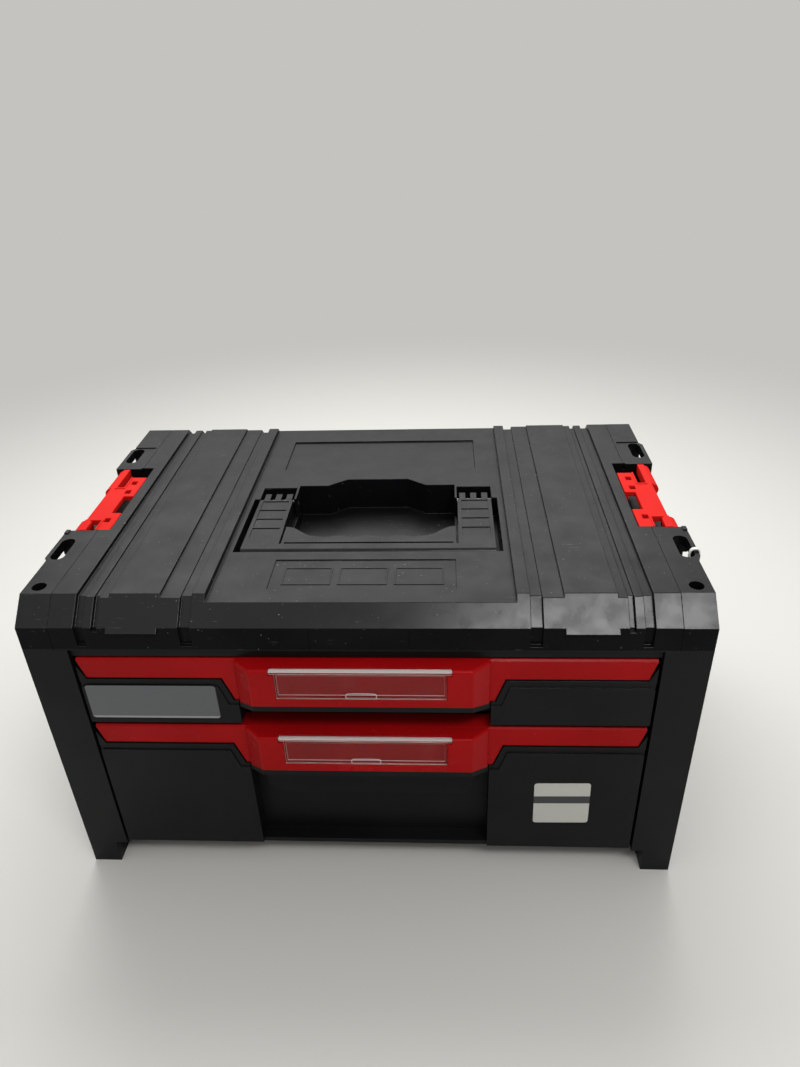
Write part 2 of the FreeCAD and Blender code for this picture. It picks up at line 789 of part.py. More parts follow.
def make_side_panel():
    panel = new_piece("side_panel_right")
    pad(panel, "YZ", cover_half, half, side_outline())
    inside = envelope(wall, base_top)
    pocket(panel, "YZ", cover_half - s.overrun, half - wall, inside)
    hollow_feet(panel)
    add_posts(panel)
    add_strap_blocks(panel)
    cut_latch_seats(panel, [(cover_half, half)],
                    [(cover_half - s.overrun, half + s.block_reach + s.overrun)])
    reach = s.latch_pin_reach + s.latch_seat_wall
    round_pocket(panel, "XZ", latch_front - reach, latch_rear + reach,
                 s.latch_pin_radius + s.pin_seat, latch_axis)
    add_screw_bosses(panel)
    sink_outer_face(panel)
    return panel


# Inner side frames: the walls beside the drawers, which carry the guides
frame_front = front + s.post_return
frame_rear = rear - s.back_thickness - s.back_rib_height
flange_half = post_half - s.frame_flange
guide_front, guide_rear = front + s.guide_front, frame_rear - s.guide_rear


def peg_places(z):
    """Where a guide's pegs go through the side frame."""
    return [(y, z) for y in row_between(s.guide_peg_count, guide_front + s.guide_peg_inset,
                                        guide_rear - s.guide_peg_inset)]


base_screw_places = [(post_half - s.foot_screw_inset, y)
                     for y in row_between(s.base_screw_count, front + s.base_screw_inset,
                                          rear - s.base_screw_inset)]
back_screw_places = [(flange_half + s.foot_screw_inset, z)
                     for z in row_between(s.back_screw_count, base_top + s.back_screw_inset,
                                          cover_low - s.back_screw_inset)]


def make_side_frame(guide_heights):
    frame = new_piece("side_frame_right")
    pad(frame, "YZ", post_half, post_half + s.frame_wall, box(frame_front, rear - wall, base_z, cover_low))
    pad(frame, "XZ", frame_rear - s.frame_flange_thickness, frame_rear,
        box(flange_half, post_half, base_top, cover_low))
    count = int(s.frame_rib_count.number)
    pitch = (rear - front - s.post_return * 2 - s.frame_rib) / (count - 1)
    pad(frame, "XY", base_top, cover_low - wall,
        *[box(post_half, half - wall, frame_front + pitch * i, frame_front + pitch * i + s.frame_rib)
          for i in range(count)])
    pad(frame, "XY", base_top, base_top + s.foot_boss_height,
        *[box(post_half - s.foot_boss_reach, post_half,
              y - s.foot_boss_length / 2, y + s.foot_boss_length / 2) for _, y in base_screw_places])
    round_pocket(frame, "XY", base_top, base_top + s.foot_boss_height - s.frame_wall,
                 s.small_hole_radius, *base_screw_places)
    round_pocket(frame, "XZ", frame_rear - s.frame_flange_thickness, frame_rear,
                 s.small_hole_radius, *back_screw_places)
    pegs = [place for height in guide_heights for place in peg_places(height)]
    round_pocket(frame, "YZ", post_half, post_half + s.frame_wall, s.guide_peg_radius + s.pin_seat, *pegs)
    return frame


# Drawer guides: channels that the trays' flanges slide in, pegged to the side frames
def make_guide(name, height):
    guide = new_piece(name)
    inner = post_half - s.guide_depth
    half_slot = s.guide_slot / 2
    section = [(post_half, height - half_slot - s.guide_lip), (post_half, height + half_slot + s.guide_lip),
               (inner, height + half_slot + s.guide_lip), (inner, height + half_slot),
               (post_half - s.guide_web, height + half_slot), (post_half - s.guide_web, height - half_slot),
               (inner, height - half_slot), (inner, height - half_slot - s.guide_lip)]
    pad(guide, "XZ", guide_front, guide_rear, section)
    round_pad(guide, "YZ", post_half - s.guide_web / 2, post_half + s.frame_wall,
              s.guide_peg_radius, *peg_places(height))
    return guide


# Base and back, screwed to the side frames
def make_base():
    base = new_piece("base_plate")
    inner_half = post_half - s.fit_gap
    pad(base, "XY", base_z, base_top, box(-inner_half, inner_half, front + s.base_setback, frame_rear))
    pad(base, "XY", base_z - s.base_rib_height, base_z,
        *[box(x - s.base_rib_width / 2, x + s.base_rib_width / 2,
              front + s.gusset_setback * 2, rear - s.gusset_setback * 2)
          for x in row_of(s.base_rib_count, s.base_rib_pitch)])
    round_pocket(base, "XY", base_z, base_top, s.small_hole_radius,
                 *base_screw_places, *flipped(base_screw_places))
    return base


def make_back():
    back = new_piece("back_panel")
    inner_half = post_half - s.fit_gap
    face = frame_rear + s.back_thickness
    pad(back, "XZ", frame_rear, face, box(-inner_half, inner_half, base_z, cover_low - s.fit_gap))
    pad(back, "XZ", face, face + s.back_rib_height,
        *[box(x - s.back_rib_width / 2, x + s.back_rib_width / 2,
              base_top + s.gusset_setback, cover_low - s.gusset_setback)
          for x in row_of(s.back_rib_count, s.back_rib_pitch)])
    round_pocket(back, "XZ", frame_rear, face, s.small_hole_radius,
                 *back_screw_places, *flipped(back_screw_places))
    return back


# Screws, each group of like ones in one piece of separate solids
def make_screws(name, plane, seat, way, centres, head, shank):
    """Screws whose heads rest on the plane at seat, with their shanks in the direction way."""
    group = new_piece(name)
    (head_radius, head_height), (shank_radius, length) = head, shank
    round_pad(group, plane, *sorted_pair(seat, seat - head_height * way), head_radius, *centres)
    round_pad(group, plane, *sorted_pair(seat, seat + length * way), shank_radius, *centres)
    drive = sorted_pair(seat - head_height * way, seat - (head_height - s.drive_depth) * way)
    for along, across in ((s.drive_length, s.drive_width), (s.drive_width, s.drive_length)):
        pocket(group, plane, *drive, *[box(u - along / 2, u + along / 2, v - across / 2, v + across / 2)
                                       for u, v in centres])


def make_all_screws(front_screws):
    small_head = (s.small_head_radius, s.small_head_height)
    small_shank = (s.small_shank_radius, s.small_screw_length)
    make_screws("strip_screws", "XY", screw_seat, -1, screw_places + flipped(screw_places),
                (s.screw_head_radius, s.screw_head_height),
                (s.screw_shank_radius, s.screw_length - s.overrun))
    make_screws("base_screws", "XY", base_z, 1, base_screw_places + flipped(base_screw_places),
                small_head, small_shank)
    make_screws("back_screws", "XZ", frame_rear + s.back_thickness, -1,
                back_screw_places + flipped(back_screw_places), small_head,
                (s.small_shank_radius, s.back_thickness + s.frame_flange_thickness))
    for name, places in front_screws.items():
        make_screws(name, "XZ", front_back + s.tray_wall, -1, places, small_head, small_shank)


# Carry handle: a hollow U that folds flat, with three-finger knuckles on a pin each side
def make_handle():
    handle = new_piece("carry_handle")
    low = panel_z - s.handle_thickness
    inner = s.handle_half - s.handle_arm
    arm_rear = front + s.handle_arm_rear
    arm_edge, grip_edge = front + s.grip_arm_edge, front + s.grip_edge
    right = [(s.handle_half, front + s.handle_front), (s.handle_half, arm_rear), (inner, arm_rear),
             (inner, arm_edge), (s.grip_corner_half, arm_edge), (s.grip_curve_half, grip_edge)]
    pad(handle, "XY", low, panel_z, right + flipped(reversed(right)))
    round_edges(handle, s.grip_curve_radius, lambda a, b: upright(a, b, s.grip_corner_half)
                or upright(a, b, s.grip_curve_half))
    nose_y = front + s.handle_front
    round_edges(handle, s.handle_nose_radius, lambda a, b: near(a.z, panel_z) and near(b.z, panel_z)
                and near(a.y, nose_y) and near(b.y, nose_y))
    for x in row_of(s.finger_count, s.finger_pitch):
        round_pocket(handle, "XY", low, panel_z, s.finger_radius,
                     (x, grip_edge + s.finger_radius - s.finger_depth))
    groove = front + s.grip_groove_front
    arm_groove = inner - s.arm_groove_inset
    pocket(handle, "XY", panel_z - s.grip_groove_depth, sky,
           box(-s.grip_groove_half, s.grip_groove_half, groove, groove + s.grip_groove_width),
           *paired(box(arm_groove, arm_groove + s.grip_groove_width, groove, arm_edge + s.overrun)))
    add_arm_details(handle, inner, low, arm_rear)
    knuckle_low = s.knuckle_pocket_inner + s.knuckle_inset
    for side_low, side_high in both_sides(knuckle_low, knuckle_low + s.knuckle_width):
        round_pad(handle, "YZ", side_low, side_high, s.knuckle_radius, handle_axis)
        pad(handle, "YZ", side_low, side_high,
            box(arm_rear - s.overrun, handle_axis[0], low, panel_z - s.arm_rib_depth))
    gap = (s.knuckle_width - s.knuckle_finger * 3) / 2
    gaps = []
    for i in range(2):
        gap_low = knuckle_low + s.knuckle_finger + (s.knuckle_finger + gap) * i
        gaps += paired(box(gap_low, gap_low + gap,
                           arm_rear + s.arm_rib_depth, front + s.knuckle_pocket_rear))
    pocket(handle, "XY", low - s.overrun, sky, *gaps)
    round_pocket(handle, "YZ", -s.handle_half, s.handle_half,
                 s.handle_pin_radius + s.pin_running, handle_axis)
    return handle


def add_arm_details(handle, inner, low, arm_rear):
    """Sunk steps on top of the arms, and the hollows beneath them."""
    steps = []
    for i in range(int(s.arm_rib_count.number)):
        near_side = front + s.arm_rib_front + s.arm_rib_pitch * i
        steps += paired(box(inner + s.arm_rib_inset, s.handle_half - s.arm_rib_inset,
                            near_side, near_side + s.arm_rib_pitch - s.arm_rib_width))
    pocket(handle, "XY", panel_z - s.arm_rib_depth, sky, *steps)
    pocket(handle, "XY", low - s.overrun, panel_z - s.handle_wall - s.arm_rib_depth,
           *paired(box(inner + s.handle_wall, s.handle_half - s.handle_wall,
                       front + s.handle_front + s.handle_wall, arm_rear - s.handle_wall)))


def make_handle_pin():
    pin = new_piece("handle_pin_right")
    round_pad(pin, "YZ", s.knuckle_pocket_inner - s.handle_pin_reach,
              s.knuckle_pocket_outer + s.handle_pin_reach, s.handle_pin_radius, handle_axis)
    return pin


# Side latches: red clips on a pin along the case's edge, folded in flat
def make_latch():
    latch = new_piece("latch_right")
    axis_x, axis_z = latch_axis
    top_z = top - s.latch_top_drop
    low_z = top_z - s.latch_plate
    lip = post_half + s.latch_lip_gap
    near_end, far_end = latch_front + s.latch_end_gap, latch_rear - s.latch_end_gap
    waist = half - s.latch_waist
    finger = lip + s.latch_finger_reach
    near_knuckle = near_end + s.latch_front_knuckle
    far_knuckle = far_end - s.latch_rear_knuckle
    rear_plate = near_end + s.latch_rear_plate
    plan = [(lip, near_end), (lip + s.latch_front_plate_half, near_end),
            (lip + s.latch_front_plate_half, near_end + s.latch_front_pocket),
            (half - s.latch_pocket_outer, near_end + s.latch_front_pocket),
            (half - s.latch_pocket_outer, near_end),
            (axis_x, near_end), (axis_x, near_knuckle), (waist, near_knuckle), (waist, far_knuckle),
            (axis_x, far_knuckle), (axis_x, far_end), (half - s.latch_pocket_outer + s.latch_web, far_end),
            (half - s.latch_pocket_outer + s.latch_web, far_knuckle),
            (lip + s.latch_rear_plate_half, far_knuckle), (lip + s.latch_rear_plate_half, rear_plate),
            (lip, rear_plate), (lip, near_end + s.latch_finger_rear),
            (finger, near_end + s.latch_finger_rear), (finger, near_end + s.latch_finger_front),
            (lip, near_end + s.latch_finger_front)]
    pad(latch, "XY", low_z, top_z, plan)
    for low, high in ((near_end, near_knuckle), (far_knuckle, far_end)):
        round_pad(latch, "XZ", low, high, s.latch_knuckle_radius, latch_axis)
        pad(latch, "XZ", low, high, box(axis_x - s.latch_knuckle_radius, axis_x, axis_z, top_z))
    noses = ((near_end, near_end + s.latch_finger_front), (near_end + s.latch_finger_rear, rear_plate))
    pad(latch, "XY", low_z - s.latch_nose_depth, low_z,
        *[box(lip, lip + s.latch_nose_width, low, high) for low, high in noses])
    hole_x = lip + s.latch_nose_width + s.latch_web
    hole_ends = [near_end + reach for reach in (s.latch_hole_front, s.latch_hole_middle, s.latch_hole_rear)]
    pocket(latch, "XY", low_z, sky,
           *[box(hole_x, hole_x + s.latch_hole_width, y, y + s.latch_hole_length) for y in hole_ends])
    web = s.latch_web
    front_x, front_y = lip + s.latch_front_plate_half, near_end + s.latch_front_pocket
    rear_x, rear_y = lip + s.latch_rear_plate_half, far_knuckle
    outer_x = half - s.latch_pocket_outer
    pad(latch, "XY", top_z - web, top_z + s.latch_rib_height,
        [(front_x - web, near_end), (front_x, near_end), (front_x, front_y), (outer_x + web, front_y),
         (outer_x + web, front_y + web), (front_x - web, front_y + web)],
        [(rear_x - web, rear_plate), (rear_x, rear_plate), (rear_x, rear_y), (outer_x + web, rear_y),
         (outer_x + web, rear_y - web), (rear_x - web, rear_y - web)])
    for low, high in ((near_end - s.overrun, near_knuckle), (far_knuckle, far_end + s.overrun)):
        round_pocket(latch, "XZ", low, high, s.latch_pin_radius + s.pin_running, latch_axis)
    return latch


def make_latch_pin():
    """A short pin through each of the latch's two knuckles."""
    pin = new_piece("latch_pin_right")
    spans = ((latch_front - s.latch_pin_reach, latch_front + s.latch_front_knuckle - s.latch_web),
             (latch_rear - s.latch_rear_knuckle + s.latch_web, latch_rear + s.latch_pin_reach))
    for low, high in spans:
        round_pad(pin, "XZ", low, high, s.latch_pin_radius, latch_axis)
    return pin


# Drawers: a black front with a finger space, a red pull over it, a tray and a label window
pull_face = front - s.pull_reach
rail_face = front + s.rail_setback
front_back = front + s.front_thickness
front_half = post_half - s.front_side_gap
rail_end_half = front_half - s.rail_end_inset
rail_low_half = front_half - s.rail_low_inset
tray_half = post_half - s.tray_side_gap


def lower_edge(z_top, face_drop, root_drop):
    """From the side, where the underside of the pull runs, from its face back past the front."""
    fall = root_drop - face_drop
    run = front + s.front_thickness - pull_face
    return [(pull_face, z_top - face_drop), (front_back, z_top - face_drop - fall * run / s.pull_reach)]


def cut_pull_corners(body, low, high):
    """Takes the corners beside the pull's slanting cheeks."""
    clear = s.pull_root_half + s.pull_reach
    cheek = [(s.pull_face_half, pull_face - s.overrun), (clear, pull_face - s.overrun), (clear, front),
             (s.pull_root_half, front), (s.pull_face_half, pull_face)]
    pocket(body, "XY", low, high, *paired(cheek))


def pull_plan(inset):
    """The inside of the pull's nose from above, drawn in by inset."""
    shift = inset / 2
    root = rail_face + inset + s.overrun / 4
    return [(-s.pull_root_half + shift + inset, root),
            (-s.pull_face_half + shift, pull_face + inset), (s.pull_face_half - shift, pull_face + inset),
            (s.pull_root_half - shift - inset, root)]


def rail_outline(z_top):
    """The red rail from the front, without its nose."""
    right = [(rail_end_half, z_top), (rail_end_half, z_top - s.rail_end_drop),
             (rail_low_half, z_top - s.rail_height), (s.rail_step_half, z_top - s.rail_height),
             (s.pull_side_half, z_top - s.pull_side_drop)]
    return flipped(reversed(right)) + right


def make_pull(name, z_top):
    """The red pull: a rail over the whole front and a hollow nose with slanting cheeks."""
    pull = new_piece(name)
    deep, root_z = rail_face + s.pull_wall / 2, z_top - s.pull_root_height
    nose = [(pull_face, z_top), (pull_face, z_top - s.pull_face_height), (front, root_z),
            (deep, root_z), (deep, z_top)]
    pad(pull, "YZ", -s.pull_root_half, s.pull_root_half, nose)
    cut_pull_corners(pull, root_z - s.overrun, z_top + s.overrun)
    doc.recompute()
    round_edges(pull, s.pull_radius, lambda a, b: near(a.z, z_top) and near(b.z, z_top)
                and min(a.y, b.y) < front.number + s.fit_gap.number
                or near(a.x, b.x) and near(a.y, b.y) and a.y < front.number + s.fit_gap.number)
    pad(pull, "XZ", rail_face, front_back, rail_outline(z_top))
    edge = s.edge_radius
    chamfer = [(rail_face, z_top - edge), (rail_face + edge, z_top), (rail_face + edge, z_top + edge),
               (rail_face - edge, z_top + edge), (rail_face - edge, z_top - edge)]
    for low, high in both_sides(s.pull_root_half, rail_end_half + s.overrun):
        pocket(pull, "YZ", low, high, chamfer)
    pocket(pull, "XY", z_top - s.pull_side_drop - s.overrun, z_top - s.pull_wall, pull_plan(s.pull_wall))
    pocket(pull, "XZ", rail_face + s.pull_wall, front_back + s.overrun,
           box(-rail_low_half, rail_low_half, z_top - s.pull_side_drop - s.overrun, z_top - s.pull_wall))
    cut_window_seat(pull, z_top)
    return pull


def window_pivot(z_top):
    return (pull_face + s.window_bar_radius, z_top - s.window_bar_radius)


def cut_window_seat(pull, z_top):
    """A shallow seat in the nose for the window, and a notch with two holes for its hinge bar."""
    pivot_y, pivot_z = window_pivot(z_top)
    gap = s.window_gap
    seat_low = pivot_z - s.window_height - gap
    reach = s.window_bar_half + s.window_pivot_reach + gap * 2
    pad(pull, "YZ", -reach - s.pull_wall / 2, reach + s.pull_wall / 2,
        box(pull_face + s.pull_wall / 2, pivot_y + s.window_bar_radius + gap + s.pull_wall / 2,
            pivot_z - s.window_bar_radius - gap - s.pull_wall / 2, z_top - s.pull_wall / 2))
    pocket(pull, "XZ", pull_face - s.overrun, pull_face + s.window_seat,
           box(-s.window_half - gap, s.window_half + gap, seat_low, z_top + s.overrun))
    pocket(pull, "YZ", -s.window_bar_half - gap, s.window_bar_half + gap,
           box(pull_face - s.overrun, pivot_y + s.window_bar_radius + gap,
               pivot_z - s.window_bar_radius - gap, z_top + s.overrun))
    round_pocket(pull, "YZ", -reach, reach, s.window_pivot_radius + s.pin_running, (pivot_y, pivot_z))


def make_window(name, z_top):
    """The clear label window: a thin pane under a round hinge bar with a tab to lift it."""
    window = new_piece(name)
    pivot_y, pivot_z = window_pivot(z_top)
    pane_front = pull_face + s.fit_gap / 2
    pane_low = pivot_z - s.window_height
    round_pad(window, "YZ", -s.window_bar_half, s.window_bar_half, s.window_bar_radius, (pivot_y, pivot_z))
    pad(window, "XZ", pane_front, pane_front + s.window_thickness,
        box(-s.window_half, s.window_half, pane_low, pivot_z))
    reach = s.window_bar_half + s.window_pivot_reach
    round_pad(window, "YZ", -reach, reach, s.window_pivot_radius, (pivot_y, pivot_z))
    pocket(window, "XZ", pull_face - s.overrun, pane_front + s.window_thickness / 3,
           box(-s.window_half + s.window_ear, s.window_half - s.window_ear,
               pane_low + s.window_tab_height, pivot_z - s.window_bar_radius))
    pad(window, "XZ", pull_face, pane_front + s.window_thickness / 2,
        box(-s.window_tab_half, s.window_tab_half, pane_low, pane_low + s.window_tab_height / 2))
    return window


def front_screw_places(z_low, z_top):
    """Four screws join each tray to its front, clear of the finger space."""
    low, high = z_low + (z_top - z_low) / 4, z_top - (z_top - z_low) / 4
    right = [(front_half - s.front_screw_inset, low), (s.front_screw_inner, high)]
    return right + flipped(right)


def add_screw_seats(piece, places, hollow_face, rail_low):
    """Bosses inside a front that its screws bite into. One behind the rail stands clear of it."""
    reach = s.small_screw_length - s.tray_wall + s.fit_gap
    for place in places:
        behind_rail = (place[1] + s.front_boss_radius).number > rail_low.number
        face = rail_face + s.pull_wall + s.fit_gap if behind_rail else hollow_face
        round_pad(piece, "XZ", face, front_back, s.front_boss_radius, place)
    round_pocket(piece, "XZ", front_back - reach, front_back + s.overrun, s.small_hole_radius, *places)


def make_front(name, z_low, z_top, deep):
    """The black front: two panels, a rim set back over them, the lip under the pull, a back wall."""
    piece = new_piece(name)
    edge = lower_edge(z_top, s.pull_face_height, s.pull_root_height)
    lip = edge + [(edge[1][0], edge[1][1] - s.lip_height), (edge[0][0], edge[0][1] - s.lip_height)]
    lip_low, lip_high = z_low - s.pull_side_drop, z_top
    pad(piece, "YZ", -s.pull_root_half, s.pull_root_half, lip)
    cut_pull_corners(piece, lip_low, lip_high)
    inner_face, inner_root = s.pull_face_half - s.lip_width / 2, s.pull_root_half - s.lip_width
    space = [(-inner_root, front + s.lip_width), (-inner_face, pull_face + s.lip_width),
             (inner_face, pull_face + s.lip_width), (inner_root, front + s.lip_width),
             (inner_root, front_back + s.overrun), (-inner_root, front_back + s.overrun)]
    pocket(piece, "XY", lip_low, lip_high, space)
    rim_face = front + s.rim_setback
    rim_z, shoulder = z_top - s.rail_height - s.rim_gap, z_top - s.pull_side_drop
    step_half, side_half = s.rail_step_half + s.rim_gap, s.pull_side_half + s.rim_gap
    rim_low, rim_side_low = rim_z - s.rim_width, z_top - s.rim_side_drop
    field = [(s.finger_space_half, z_low), (front_half, z_low), (front_half, z_top - s.rim_end_drop),
             (rail_low_half, rim_z), (step_half, rim_z), (side_half, shoulder),
             (s.finger_space_half, shoulder)]
    rim_half = front_half + s.fit_gap
    rim = [(rim_half, z_top - s.rim_end_drop), (rail_low_half, rim_z), (step_half, rim_z),
           (side_half, shoulder), (s.finger_space_half, shoulder), (s.finger_space_half, rim_side_low),
           (s.rim_side_half, rim_side_low), (s.rim_low_half, rim_low), (rim_half - s.rim_corner, rim_low),
           (rim_half, rim_low + s.rim_corner)]
    panel = [(s.finger_space_half, z_low), (front_half, z_low), (front_half, rim_low - s.panel_corner),
             (front_half - s.panel_corner, rim_low), (s.rim_low_half, rim_low),
             (s.rim_side_half, rim_side_low), (s.finger_space_half, rim_side_low)]
    pad(piece, "XZ", rim_face, front_back, *paired(field))
    pad(piece, "XZ", rim_face, front + s.front_skin, *paired(rim))
    pad(piece, "XZ", front, rim_face + s.front_skin / 2, *paired(panel))
    upper_half, wall_top = rail_low_half - s.fit_gap, z_top - s.pull_wall - s.fit_gap
    back_wall = [(front_half, z_low), (front_half, rim_z), (upper_half, rim_z),
                 (upper_half, wall_top)]
    pad(piece, "XZ", front_back - s.front_back_wall, front_back, back_wall + flipped(reversed(back_wall)))
    skin = s.front_skin
    pocket(piece, "XZ", front + skin, front_back + s.overrun,
           *paired(box(s.finger_space_half + skin, front_half - skin, z_low + skin, rim_low - skin)))
    add_screw_seats(piece, front_screw_places(z_low, z_top), front + skin, rim_z)
    if deep:
        pad(piece, "XY", z_low, z_low + s.sill_height,
            box(-s.finger_space_half, s.finger_space_half, front + s.sill_setback, front_back))
        corner = s.knuckle_pad_corner
        pad_low, pad_half = z_low + s.knuckle_pad_rise, s.knuckle_pad_half
        shape = [(-pad_half + corner, pad_low), (pad_half - corner, pad_low), (pad_half, pad_low + corner),
                 (pad_half, z_top - s.pull_side_drop), (-pad_half, z_top - s.pull_side_drop),
                 (-pad_half, pad_low + corner)]
        back_face = front_back - s.front_back_wall
        pad(piece, "XZ", back_face - s.knuckle_pad_thickness, back_face, shape)
    return piece


def make_tray(name, z_low, z_top, guide_z):
    """An open tray with a rounded plan and a flange each side that runs in the guides."""
    tray = new_piece(name)
    floor_low, rim = z_low + s.tray_lift, z_top - s.tray_rim_drop
    tray_rear = frame_rear - s.tray_rear_gap
    pad(tray, "XY", floor_low, rim, box(-tray_half, tray_half, front_back, tray_rear))
    round_edges(tray, s.tray_corner, lambda a, b: upright(a, b, tray_half, tray_rear))
    pocket(tray, "XY", floor_low + s.tray_floor, rim + s.overrun,
           box(-tray_half + s.tray_wall, tray_half - s.tray_wall,
               front_back + s.tray_wall, tray_rear - s.tray_wall))
    inner = tray_half - s.tray_wall
    round_edges(tray, s.tray_corner - s.tray_wall,
                lambda a, b: upright(a, b, inner) and not near(a.z, floor_low) and not near(b.z, floor_low))
    half_flange = s.flange_thickness / 2
    for low, high in both_sides(tray_half - s.tray_wall / 2, tray_half + s.flange_width):
        pad(tray, "XY", guide_z - half_flange, guide_z + half_flange,
            box(low, high, guide_front, tray_rear - s.tray_corner))
    round_pocket(tray, "XZ", front_back - s.overrun, front_back + s.tray_wall, s.small_hole_radius,
                 *front_screw_places(z_low, z_top))
    return tray


upper_front_top = cover_low - s.front_top_gap
upper_front_low = upper_front_top - s.upper_front_height
lower_front_top = upper_front_low - s.drawer_gap
lower_front_low = base_top + s.front_low_gap
upper_guide = upper_front_top - s.flange_drop
lower_guide = lower_front_top - s.flange_drop
cover = make_cover()
side_panel = make_side_panel()
mirror("side_panel_left", side_panel)
side_frame = make_side_frame((upper_guide, lower_guide))
mirror("side_frame_left", side_frame)
for level, guide_z in (("upper", upper_guide), ("lower", lower_guide)):
    guide = make_guide(f"guide_{level}_right", guide_z)
    mirror(f"guide_{level}_left", guide)
make_base()
make_back()
make_handle()
mirror("handle_pin_left", make_handle_pin())
mirror("latch_left", make_latch())
mirror("latch_pin_left", make_latch_pin())
drawer_levels = (("upper", upper_front_low, upper_front_top, upper_guide, False),
                 ("lower", lower_front_low, lower_front_top, lower_guide, True))
front_screws = {}
for level, z_low, z_top, guide_z, deep in drawer_levels:
    make_tray(f"{level}_tray", z_low, z_top, guide_z)
    make_front(f"{level}_front", z_low, z_top, deep)
    make_pull(f"{level}_pull", z_top)
    make_window(f"{level}_label_window", z_top)
    front_screws[f"{level}_front_screws"] = front_screw_places(z_low, z_top)
make_all_screws(front_screws)

doc.recompute()
faults = [f"{o.Label}: {o.State}" for o in doc.Objects if {"Invalid", "Error"} & set(o.State)]
for name, piece in nodes.items():
    if piece.Shape.isNull() or not piece.Shape.isValid():
        faults.append(f"{name}: no valid shape")
if faults:
    raise RuntimeError("\n".join(faults))
os.makedirs("parts", exist_ok=True)
for name, piece in nodes.items():
    piece.Shape.exportStep(f"parts/{name}.step")
    bounds = piece.Shape.BoundBox
    print(f"{name}: {len(piece.Shape.Solids)} solids, {piece.Shape.Volume / 1000:.1f} cm3, "
          f"x {bounds.XMin:.1f} {bounds.XMax:.1f}, y {bounds.YMin:.1f} {bounds.YMax:.1f}, "
          f"z {bounds.ZMin:.1f} {bounds.ZMax:.1f}")
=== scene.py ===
import json
import math

import bmesh
import bpy
from mathutils import Matrix, Vector

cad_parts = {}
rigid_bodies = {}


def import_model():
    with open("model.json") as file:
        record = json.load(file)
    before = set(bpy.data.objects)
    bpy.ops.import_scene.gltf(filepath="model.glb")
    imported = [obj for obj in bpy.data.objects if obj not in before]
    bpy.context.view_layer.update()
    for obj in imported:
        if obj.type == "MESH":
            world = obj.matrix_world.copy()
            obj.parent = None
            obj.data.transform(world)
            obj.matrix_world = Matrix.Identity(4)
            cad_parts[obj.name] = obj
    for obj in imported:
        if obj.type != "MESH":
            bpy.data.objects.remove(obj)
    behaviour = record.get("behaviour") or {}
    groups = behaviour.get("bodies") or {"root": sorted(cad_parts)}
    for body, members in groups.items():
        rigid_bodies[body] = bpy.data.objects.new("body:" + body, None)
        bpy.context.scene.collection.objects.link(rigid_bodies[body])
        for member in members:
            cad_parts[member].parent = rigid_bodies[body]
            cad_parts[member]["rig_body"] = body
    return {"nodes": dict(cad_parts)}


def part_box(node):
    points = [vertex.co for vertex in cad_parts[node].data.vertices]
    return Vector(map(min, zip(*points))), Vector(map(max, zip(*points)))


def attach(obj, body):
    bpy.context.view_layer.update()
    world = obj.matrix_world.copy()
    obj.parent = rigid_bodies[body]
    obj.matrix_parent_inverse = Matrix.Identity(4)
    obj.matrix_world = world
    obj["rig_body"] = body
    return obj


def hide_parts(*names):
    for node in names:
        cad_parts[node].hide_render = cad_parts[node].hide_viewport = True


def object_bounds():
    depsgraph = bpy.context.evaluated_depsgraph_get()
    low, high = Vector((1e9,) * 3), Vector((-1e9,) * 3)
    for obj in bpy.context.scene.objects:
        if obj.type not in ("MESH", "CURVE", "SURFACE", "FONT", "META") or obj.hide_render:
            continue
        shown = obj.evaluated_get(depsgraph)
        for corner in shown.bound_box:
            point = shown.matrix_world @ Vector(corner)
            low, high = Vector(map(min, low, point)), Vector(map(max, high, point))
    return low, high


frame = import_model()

MM = 0.001
nodes = frame["nodes"]
cad_low, cad_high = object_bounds()

# Side panels. Each is one deep moulding with the front and rear posts, the feet, the
# strap slots and the bevelled shoulder in it. They are injection-moulded polypropylene,
# coloured through, screwed to the cover and the base.


def linear(hex_colour):
    """An sRGB hex colour as the linear RGBA that a socket takes."""
    channels = [int(hex_colour[i:i + 2], 16) / 255 for i in (1, 3, 5)]
    return [c / 12.92 if c < 0.04045 else ((c + 0.055) / 1.055) ** 2.4 for c in channels] + [1]


def add_node(tree, kind, output=0, settings=None, **links):
    """Adds one node: its settings, then its inputs, each a value or another node's output."""
    node = tree.nodes.new("ShaderNode" + kind)
    for name, value in (settings or {}).items():
        setattr(node, name, value)
    for name, value in links.items():
        number = name[1:]
        socket = node.inputs[int(number) if number.isdigit() else name.replace("_", " ")]
        if isinstance(value, bpy.types.NodeSocket):
            tree.links.new(value, socket)
        else:
            socket.default_value = value
    return node.outputs[output]


smooth = {"interpolation_type": "SMOOTHSTEP"}
times = {"operation": "MULTIPLY"}
either = {"operation": "MAXIMUM"}


